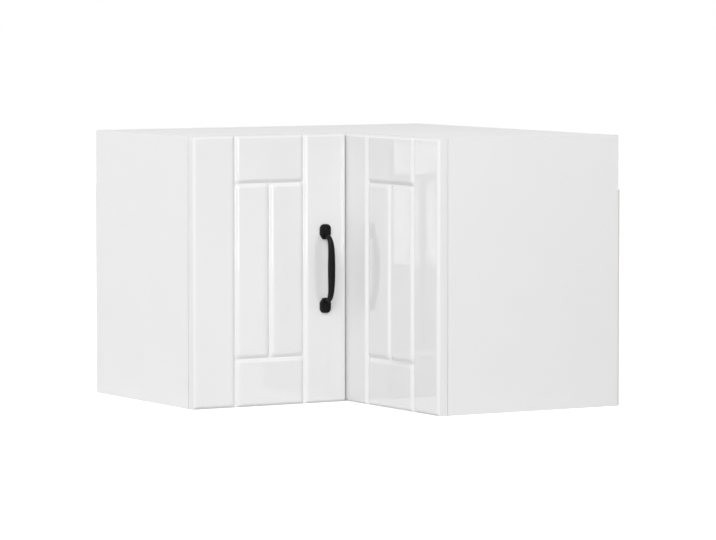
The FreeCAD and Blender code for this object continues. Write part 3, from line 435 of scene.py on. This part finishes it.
def gridLines(extent, middles, reach, shape):
    # close lines over the rolled edges and the grooves, wide ones between them
    lines = []
    for step in range(shape["edgeSteps"] + 1):
        inset = shape["edgeRadius"] * (1.0 - math.cos(math.pi / 2.0 * step / shape["edgeSteps"]))
        lines += [inset, extent - inset]
    for middle in middles:
        count = int(math.ceil(reach / shape["fineStep"]))
        lines += [middle + reach * step / count for step in range(-count, count + 1)]
    lines = sorted(set(round(value, 7) for value in lines))
    full = []
    for low, high in zip(lines, lines[1:]):
        pieces = max(1, int(math.ceil((high - low) / shape["coarseStep"])))
        full += [low + (high - low) * step / pieces for step in range(pieces)]
    return np.array(full + [lines[-1]])


def leafRelief(width, height, lips, shape):
    # the face's grid, how far each point lies back, and how far the foil is drawn over an edge there
    left, right = shape["stile"] + lips[0], width - shape["stile"] - lips[1]
    low, high = shape["crosspiece"], height - shape["crosspiece"]
    middle = (left + right) / 2.0
    reach = grooveRuns(shape)[2] + shape["crossingReach"]
    u, v = np.meshgrid(gridLines(width, (left, middle, right), reach, shape),
                       gridLines(height, (low, high), reach, shape))
    between = (u >= left) & (u <= right)
    within = (v >= low) & (v <= high)
    grooves = [((left, 0.0), (left, height), True), ((right, 0.0), (right, height), True),
               ((left, low), (right, low), between), ((left, high), (right, high), between),
               ((middle, low), (middle, high), within)]
    distance = np.full_like(u, 1.0)
    for start, end, reached in grooves:      # a groove that stops at another leaves its far side straight
        away = np.where(reached, segmentDistance(u, v, start, end), 1.0)
        distance = softLeast(distance, away, shape["crossingRadius"])
    radius = shape["edgeRadius"]
    toEdge = np.minimum(np.minimum(u, width - u), np.minimum(v, height - v))
    fromEdge = np.clip(radius - toEdge, 0.0, radius)
    rolled = radius - np.sqrt(radius ** 2 - fromEdge ** 2)
    drop = np.maximum(grooveDrop(np.clip(distance, 0.0, None), shape), rolled)
    return u, v, drop, np.sqrt(fromEdge / radius)


def closeBehind(points, faces, ring, size, bevel):
    # plain sides round the face's rim, a small bevel and a flat back
    width, height, thick = size
    rim = ring
    for depth, inset in ((thick - bevel, 0.0), (thick, bevel)):
        following = []
        for index in rim:
            x, z = points[index][0], points[index][2]
            following.append(len(points))
            points.append((min(max(x, inset), width - inset), depth, min(max(z, inset), height - inset)))
        for step in range(len(ring)):
            after = (step + 1) % len(ring)
            faces.append((ring[step], ring[after], following[after], following[step]))
        ring = following
    faces.append(tuple(ring))


def leafMesh(name, corners, lips, skin, toWorld, shape):
    # lips and skin are what the outer edge, the inner edge and the back gain over the CAD leaf
    width, height, thick = (far - near for near, far in zip(*corners))
    width += sum(lips)
    thick += skin
    u, v, drop, stretch = leafRelief(width, height, lips, shape)
    rows, columns = u.shape
    points = list(zip(u.ravel(), drop.ravel(), v.ravel()))
    faces = []
    for row in range(rows - 1):
        for corner in range(row * columns, row * columns + columns - 1):
            faces.append((corner, corner + 1, corner + 1 + columns, corner + columns))
    rim = list(range(columns))
    rim += [row * columns + columns - 1 for row in range(1, rows)]
    rim += [(rows - 1) * columns + column for column in range(columns - 2, -1, -1)]
    rim += [row * columns for row in range(rows - 2, 0, -1)]
    closeBehind(points, faces, rim, (width, height, thick), shape["backBevel"])
    mesh = bpy.data.meshes.new(name)
    mesh.from_pydata([toWorld(*point) for point in points], [], faces)
    stretch = list(stretch.ravel()) + [1.0] * (len(points) - stretch.size)
    mesh.attributes.new("edgeStretch", "FLOAT", "POINT").data.foreach_set("value", stretch)
    work = bmesh.new()
    work.from_mesh(mesh)
    bmesh.ops.remove_doubles(work, verts=work.verts, dist=1e-7)
    bmesh.ops.recalc_face_normals(work, faces=work.faces)
    work.to_mesh(mesh)
    work.free()
    mesh.shade_smooth()
    mesh.set_sharp_from_angle(angle=math.radians(shape["sharpAngle"]))
    return mesh


def addPiece(name, mesh, material, body, stoodFor):
    piece = bpy.data.objects.new(name, mesh)
    mesh.materials.clear()
    mesh.materials.append(material)
    bpy.context.collection.objects.link(piece)
    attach(piece, body)
    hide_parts(stoodFor)
    return piece


def cutAway(piece, cutter):
    # takes the cutter's shape out of the piece and leaves plain mesh behind
    tool = bpy.data.objects.new("cutter", cutter)
    bpy.context.collection.objects.link(tool)
    change = piece.modifiers.new("cut", "BOOLEAN")
    change.operation = "DIFFERENCE"
    change.solver = "EXACT"
    change.object = tool
    bpy.context.view_layer.update()
    shown = piece.evaluated_get(bpy.context.evaluated_depsgraph_get())
    result = bpy.data.meshes.new_from_object(shown)
    piece.modifiers.clear()
    piece.data = result
    bpy.data.objects.remove(tool)


cupRecess = {
    "fromEdge": 0.0035,              # from the leaf's edge to the recess
    "radius": 0.0175,
    "depth": 0.0115,
    "sides": 96,
}


def drillCups(leaf, recess, sharpAngle):
    # the round recesses that the two hinge cups sit in
    low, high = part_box("left_leaf")
    length = 2.0 * recess["depth"]
    for level in ("lower", "upper"):
        cupLow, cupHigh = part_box(level + "_hinge_cup")
        place = (low[0] + recess["fromEdge"] + recess["radius"],
                 high[1] - recess["depth"] + length / 2.0,
                 (cupLow[2] + cupHigh[2]) / 2.0)
        cutter = bpy.data.meshes.new("cupRecess")
        work = bmesh.new()
        turned = Matrix.Translation(place) @ Matrix.Rotation(math.pi / 2.0, 4, "X")
        bmesh.ops.create_cone(work, cap_ends=True, segments=recess["sides"], radius1=recess["radius"],
                              radius2=recess["radius"], depth=length, matrix=turned)
        work.to_mesh(cutter)
        work.free()
        cutAway(leaf, cutter)
    leaf.data.set_sharp_from_angle(angle=math.radians(sharpAngle))


def makeLeftLeaf(shape):
    # looks along -y, its width runs along x
    low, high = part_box("left_leaf")
    outer = shape["outerLip"]
    mesh = leafMesh("leftLeafFace", ((low[0], low[2], low[1]), (high[0], high[2], high[1])),
                    (outer, shape["foldLip"]), shape["leftSkin"],
                    lambda u, d, v: (low[0] - outer + u, low[1] + d, low[2] + v), shape)
    leaf = addPiece("leftLeafFace", mesh, glossFoil, "left_leaf", "left_leaf")
    drillCups(leaf, cupRecess, shape["sharpAngle"])


def makeRightLeaf(shape):
    # looks along -x, its width runs along y
    low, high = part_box("right_leaf")
    outer = shape["outerLip"]
    mesh = leafMesh("rightLeafFace", ((low[1], low[2], low[0]), (high[1], high[2], high[0])),
                    (outer, 0.0), shape["rightSkin"],
                    lambda u, d, v: (low[0] + d, low[1] - outer + u, low[2] + v), shape)
    addPiece("rightLeafFace", mesh, glossFoil, "right_leaf", "right_leaf")


makeLeftLeaf(leafShape)
makeRightLeaf(leafShape)
print("leaves moulded")

screwShape = {
    "sides": 40,
    "rim": 0.35,                     # straight part of the head, as a share of its height
    "rimBevel": 0.3,                 # and how much of that the bevel under the head takes
    "seat": 0.96,                    # radius of the head's underside, as a share of the head's
    "domeSteps": 8,
    "domeFullness": 0.6,             # 1 is an ellipse, less is fuller
    "tip": 1.2,                      # length of the point, in shaft radii
    "tipBlunt": 0.25,                # radius of its end, in shaft radii
    "recessReach": 0.62,             # arms of the cross, as a share of the head's radius
    "recessWidth": 0.20,
    "recessDepth": 0.80,             # as a share of the head's height
    "recessTaper": 0.45,             # size of the cross at its foot against its mouth
    "recessTop": 1.3,                # the cutter ends above the head, in head heights
    "sharpAngle": 35.0,
}


def looseParts(node):
    # the points of each separate solid in a node's mesh
    work = bmesh.new()
    work.from_mesh(node.data)
    bmesh.ops.remove_doubles(work, verts=work.verts, dist=1e-6)
    seen, parts = set(), []
    for start in work.verts:
        if start in seen:
            continue
        seen.add(start)
        queue, points = [start], []
        while queue:
            vertex = queue.pop()
            points.append(tuple(vertex.co))
            for edge in vertex.link_edges:
                other = edge.other_vert(vertex)
                if other not in seen:
                    seen.add(other)
                    queue.append(other)
        parts.append(np.array(points))
    work.free()
    return parts


def readScrew(points):
    # where a plain turned screw sits, which way its head looks, and its sizes
    low, high = points.min(axis=0), points.max(axis=0)
    axis = int(np.argmax(high - low))
    across = [index for index in range(3) if index != axis]
    middle = (low + high) / 2.0
    radii = np.hypot(*(points[:, index] - middle[index] for index in across))
    headRadius, along = radii.max(), points[:, axis]
    head = along[radii > 0.97 * headRadius]
    outward = 1.0 if head.mean() > middle[axis] else -1.0
    seat = head.min() if outward > 0 else head.max()
    face, tip = (high[axis], low[axis]) if outward > 0 else (low[axis], high[axis])
    shaftRadius = radii[np.abs(along - tip) < 1e-5].max()
    direction = Vector([outward if index == axis else 0.0 for index in range(3)])
    place = Vector([seat if index == axis else middle[index] for index in range(3)])
    return place, direction, headRadius, abs(face - seat), shaftRadius, abs(seat - tip)


def screwOutline(headRadius, headHeight, shaftRadius, shaftLength, shape):
    # radius and height from the tip to the top of the head, which stands on height 0
    rim = headHeight * shape["rim"]
    outline = [(0.0, -shaftLength), (shaftRadius * shape["tipBlunt"], -shaftLength),
               (shaftRadius, -shaftLength + shaftRadius * shape["tip"]), (shaftRadius, 0.0),
               (headRadius * shape["seat"], 0.0), (headRadius, rim * shape["rimBevel"]), (headRadius, rim)]
    for step in range(1, shape["domeSteps"]):
        turned = math.pi / 2.0 * step / shape["domeSteps"]
        outline.append((headRadius * math.cos(turned) ** shape["domeFullness"],
                        rim + (headHeight - rim) * math.sin(turned)))
    return outline + [(0.0, headHeight)]


def screwMesh(outline, sides):
    # the outline turned about z
    work = bmesh.new()
    rings = []
    for radius, height in outline:
        ring = []
        for step in range(sides if radius > 0.0 else 1):
            turned = 2.0 * math.pi * step / sides
            ring.append(work.verts.new((radius * math.cos(turned), radius * math.sin(turned), height)))
        rings.append(ring)
    for lower, upper in zip(rings, rings[1:]):
        for step in range(sides):
            after = (step + 1) % sides
            if len(lower) == 1:
                work.faces.new((lower[0], upper[after], upper[step]))
            elif len(upper) == 1:
                work.faces.new((lower[step], lower[after], upper[0]))
            else:
                work.faces.new((lower[step], lower[after], upper[after], upper[step]))
    bmesh.ops.recalc_face_normals(work, faces=work.faces)
    mesh = bpy.data.meshes.new("screw")
    work.to_mesh(mesh)
    work.free()
    return mesh


def crossMesh(headRadius, headHeight, shape):
    # a tapered cross that stands in the head's top
    reach, half = headRadius * shape["recessReach"], headRadius * shape["recessWidth"] / 2.0
    outline = []
    for quarter in range(4):
        cosine, sine = math.cos(quarter * math.pi / 2.0), math.sin(quarter * math.pi / 2.0)
        for x, y in ((reach, -half), (reach, half), (half, half)):
            outline.append((x * cosine - y * sine, x * sine + y * cosine))
    taper, foot = shape["recessTaper"], headHeight * (1.0 - shape["recessDepth"])
    points = [(x * taper, y * taper, foot) for x, y in outline]
    points += [(x, y, headHeight * shape["recessTop"]) for x, y in outline]
    count = len(outline)
    faces = [tuple(range(count - 1, -1, -1)), tuple(range(count, 2 * count))]
    for step in range(count):
        after = (step + 1) % count
        faces.append((step, after, count + after, count + step))
    mesh = bpy.data.meshes.new("crossRecess")
    mesh.from_pydata(points, [], faces)
    return mesh


def dressScrews(nodeName, body, shape):
    # every screw of a node gets a rounded head with a cross recess and a pointed tip
    pattern = None
    work = bmesh.new()
    for points in looseParts(nodes[nodeName]):
        place, direction, *sizes = readScrew(points)
        if pattern is None:
            mesh = screwMesh(screwOutline(*sizes, shape), shape["sides"])
            pattern = bpy.data.objects.new("pattern", mesh)
            bpy.context.collection.objects.link(pattern)
            cutAway(pattern, crossMesh(sizes[0], sizes[1], shape))
        turned = Vector((0.0, 0.0, 1.0)).rotation_difference(direction).to_matrix().to_4x4()
        copy = pattern.data.copy()
        copy.transform(Matrix.Translation(place) @ turned)
        work.from_mesh(copy)
    first, *others = nodeName.split("_")
    name = first + "".join(word.capitalize() for word in others) + "Crossed"
    mesh = bpy.data.meshes.new(name)
    work.to_mesh(mesh)
    work.free()
    bpy.data.objects.remove(pattern)
    mesh.shade_smooth()
    mesh.set_sharp_from_angle(angle=math.radians(shape["sharpAngle"]))
    addPiece(name, mesh, nickelSteel, body, nodeName)


for screwNode, body in (("cup_screws", "left_leaf"), ("plate_screws", "carcass"), ("clamp_screws", "carcass"),
                        ("fold_screws_left", "left_leaf"), ("fold_screws_right", "right_leaf"),
                        ("handle_screws", "left_leaf")):
    dressScrews(screwNode, body, screwShape)
print("screws cut")

boardNodes = ("left_end_panel", "right_end_panel", "bottom_board", "top_board", "left_hanging_rail",
              "right_hanging_rail", "rear_corner_post", "shelf")
finishOf = dict.fromkeys(boardNodes, whiteBoard)
finishOf.update({
    "left_back_panel": leftBack, "right_back_panel": rightBack, "handle": blackCasting,
    "cam_locks": castZinc, "dowels": beechWood, "leaf_bumpers": bumperGel,
})
for name, node in nodes.items():
    for slot in node.material_slots:
        slot.material = finishOf.get(name, nickelSteel)       # all other fittings are nickelled steel
print("finishes laid on")
